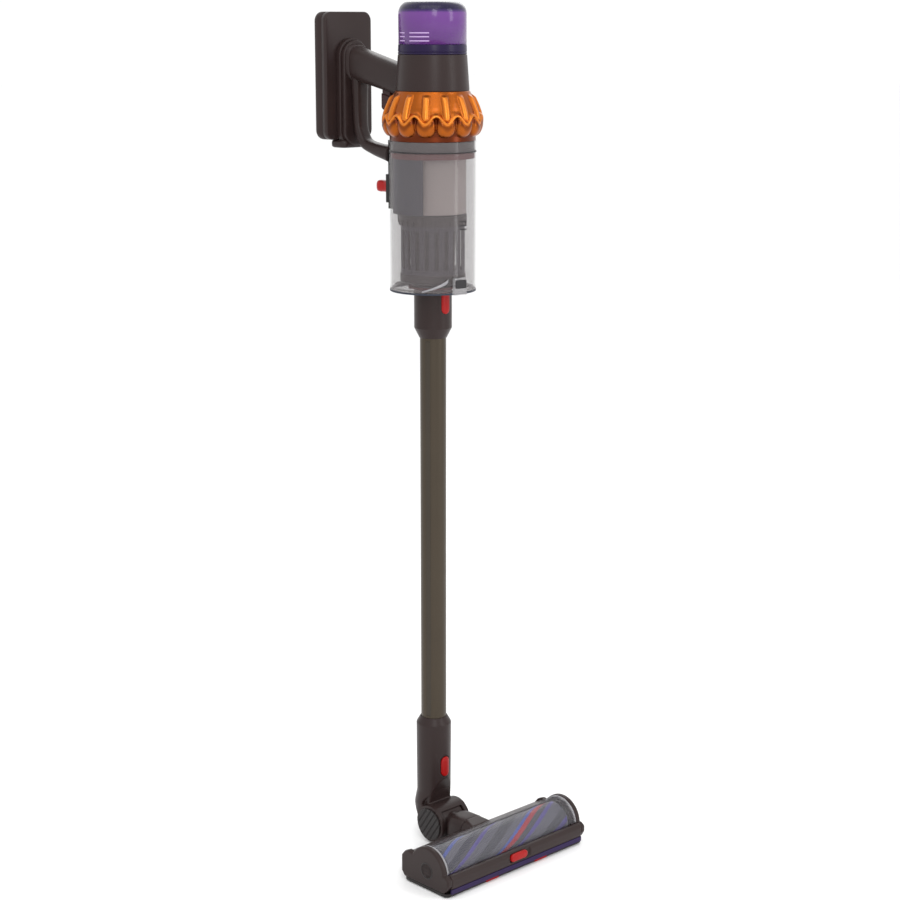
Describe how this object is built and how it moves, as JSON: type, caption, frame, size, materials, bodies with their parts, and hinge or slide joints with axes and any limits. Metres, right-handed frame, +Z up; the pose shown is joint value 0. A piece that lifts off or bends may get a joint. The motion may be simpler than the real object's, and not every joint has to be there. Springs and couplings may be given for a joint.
{
  "type": "cordless stick vacuum",
  "caption": "Upright cordless stick vacuum: purple filter, orange cyclone pack, clear bin, rear battery handle, straight wand and pivoting roller floor head.",
  "frame": {"origin": "on the floor under the middle of the whole object", "axes": "+Z up along the wand, -Y the way the floor head points, +Y towards the handle and battery, X along the floor head"},
  "size_m": [0.266, 0.3694, 1.161],
  "materials": {
    "shell_plastic": "satin grey-brown",
    "dark_plastic": "fine texture",
    "wand_metal": "satin anodised",
    "orange_plastic": "metallic orange",
    "red_plastic": "gloss",
    "filter_purple": "clear tinted",
    "base_purple": "gloss",
    "strip_purple": "soft",
    "clear_plastic": "clear, smoke grey",
    "filter_media": "pleated paper",
    "steel": "brushed",
    "winding": "enamelled wire on laminations",
    "board": "solder mask",
    "screen": "dark glass",
    "seal_red": "soft",
    "rubber": "soft",
    "mesh_metal": "etched dark",
    "cell_wrap": "shrink sleeve",
    "brush_fabric": "cut pile with coloured stripes"
  },
  "bodies": {
    "main_body": {"display_pod": "dark_plastic", "display_screen": "screen", "control_board": "board", "motor_housing": "shell_plastic", "motor_can_and_bearings": "steel", "motor_stator": "winding", "cyclone_pack": "orange_plastic", "bin_collar": "dark_plastic", "bin_seals": "seal_red", "cyclone_column": "dark_plastic", "inner_dust_cone": "dark_plastic", "shroud_rings": "dark_plastic", "shroud_mesh": "mesh_metal", "inlet_duct": "dark_plastic", "handle_grip": "shell_plastic", "handle_dock": "shell_plastic", "handle_guard": "shell_plastic", "bin_rail": "dark_plastic", "wand_collar": "shell_plastic", "wand_tube": "wand_metal", "wand_channel": "dark_plastic", "neck_socket": "shell_plastic", "elbow_pin": "steel", "elbow_discs": "shell_plastic"},
    "filter": {"filter_cap": "filter_purple", "filter_element": "filter_media", "filter_base_ring": "base_purple"},
    "mode_button": {"mode_button": "dark_plastic"},
    "impeller": {"motor_shaft": "steel", "impeller": "dark_plastic"},
    "bin": {"clear_bin": "clear_plastic", "bin_runner_and_pin": "dark_plastic"},
    "door": {"bin_door": "clear_plastic", "bin_latch": "clear_plastic"},
    "trigger": {"trigger": "red_plastic"},
    "bin_lever": {"bin_release_lever": "red_plastic"},
    "battery": {"battery_case": "shell_plastic", "battery_cells": "cell_wrap"},
    "battery_button": {"battery_release_button": "red_plastic"},
    "wand_button": {"wand_release_button": "red_plastic"},
    "neck_button": {"neck_release_button": "red_plastic"},
    "elbow": {"elbow_barrel": "shell_plastic"},
    "head": {"head_housing": "shell_plastic", "neck_duct": "shell_plastic", "clear_hood": "clear_plastic", "end_cap_left": "shell_plastic", "end_cap_right": "shell_plastic", "front_bar": "shell_plastic", "soft_strip": "strip_purple", "sole_plate": "dark_plastic", "brush_motor": "steel", "axles": "steel"},
    "brush_release": {"brush_release_button": "red_plastic"},
    "brush": {"brush_core": "dark_plastic", "brush_sleeve": "brush_fabric"},
    "gate_slider": {"gate_slider": "red_plastic"},
    "gates": {"suction_gates": "red_plastic"},
    "wheel_left": {"rear_wheel_left": "rubber"},
    "wheel_right": {"rear_wheel_right": "rubber"},
    "rollers": {"front_rollers": "rubber"}
  },
  "joints": [
    {"name": "filter_twist", "type": "hinge", "parent": "main_body", "child": "filter", "pos_m": [0, -0.01165, 1.13], "axis": [0, 0, 1], "range_deg": [0, 20]},
    {"name": "mode_button_press", "type": "slide", "parent": "main_body", "child": "mode_button", "axis": [0, 0, -1], "range_m": [0, 0.001], "stiffness_N_per_m": 600, "springref_m": -0.001},
    {"name": "impeller_spin", "type": "hinge", "parent": "main_body", "child": "impeller", "pos_m": [0, -0.01165, 1.06], "axis": [0, 0, 1], "continuous": true},
    {"name": "bin_slide", "type": "slide", "parent": "main_body", "child": "bin", "axis": [0, 0, -1], "range_m": [0, 0.06]},
    {"name": "bin_door_open", "type": "hinge", "parent": "bin", "child": "door", "pos_m": [0, 0.04935, 0.7875], "axis": [1, 0, 0], "range_deg": [0, 12]},
    {"name": "trigger_pull", "type": "slide", "parent": "main_body", "child": "trigger", "axis": [0, 0, 1], "range_m": [0, 0.004], "stiffness_N_per_m": 400, "springref_m": -0.001},
    {"name": "bin_lever_press", "type": "slide", "parent": "main_body", "child": "bin_lever", "axis": [0, 0, -1], "range_m": [0, 0.006], "stiffness_N_per_m": 500, "springref_m": -0.001},
    {"name": "battery_slide", "type": "slide", "parent": "main_body", "child": "battery", "axis": [0, 1, 0], "range_m": [0, 0.03]},
    {"name": "battery_release_press", "type": "slide", "parent": "battery", "child": "battery_button", "axis": [0, -1, 0], "range_m": [0, 0.002], "stiffness_N_per_m": 600, "springref_m": -0.001},
    {"name": "wand_release_press", "type": "slide", "parent": "main_body", "child": "wand_button", "axis": [0, 1, 0], "range_m": [0, 0.002], "stiffness_N_per_m": 600, "springref_m": -0.001},
    {"name": "neck_release_press", "type": "slide", "parent": "main_body", "child": "neck_button", "axis": [0, 1, 0], "range_m": [0, 0.002], "stiffness_N_per_m": 600, "springref_m": -0.001},
    {"name": "elbow_pitch", "type": "hinge", "parent": "main_body", "child": "elbow", "pos_m": [0, -0.03165, 0.029], "axis": [1, 0, 0], "range_deg": [-8, 85]},
    {"name": "head_roll", "type": "hinge", "parent": "elbow", "child": "head", "pos_m": [0, -0.06165, 0.029], "axis": [0, 1, 0], "range_deg": [-80, 80]},
    {"name": "brush_spin", "type": "hinge", "parent": "head", "child": "brush", "pos_m": [0, -0.14065, 0.0285], "axis": [1, 0, 0], "continuous": true},
    {"name": "brush_release_press", "type": "slide", "parent": "head", "child": "brush_release", "axis": [-1, 0, 0], "range_m": [0, 0.002], "stiffness_N_per_m": 600, "springref_m": -0.001},
    {"name": "gate_slide", "type": "slide", "parent": "head", "child": "gate_slider", "axis": [1, 0, 0], "range_m": [0, 0.006]},
    {"name": "gate_lift", "type": "slide", "parent": "head", "child": "gates", "axis": [0, 0, 1], "range_m": [0, 0.003]},
    {"name": "rear_wheel_left_spin", "type": "hinge", "parent": "head", "child": "wheel_left", "pos_m": [-0.098, -0.09915, 0.009], "axis": [1, 0, 0], "continuous": true},
    {"name": "rear_wheel_right_spin", "type": "hinge", "parent": "head", "child": "wheel_right", "pos_m": [0.098, -0.09915, 0.009], "axis": [1, 0, 0], "continuous": true},
    {"name": "front_rollers_spin", "type": "hinge", "parent": "head", "child": "rollers", "pos_m": [0, -0.16565, 0.005], "axis": [1, 0, 0], "continuous": true}
  ],
  "couplings": [
    {"joint": "gate_lift", "follows": "gate_slide", "ratio": 0.5}
  ]
}
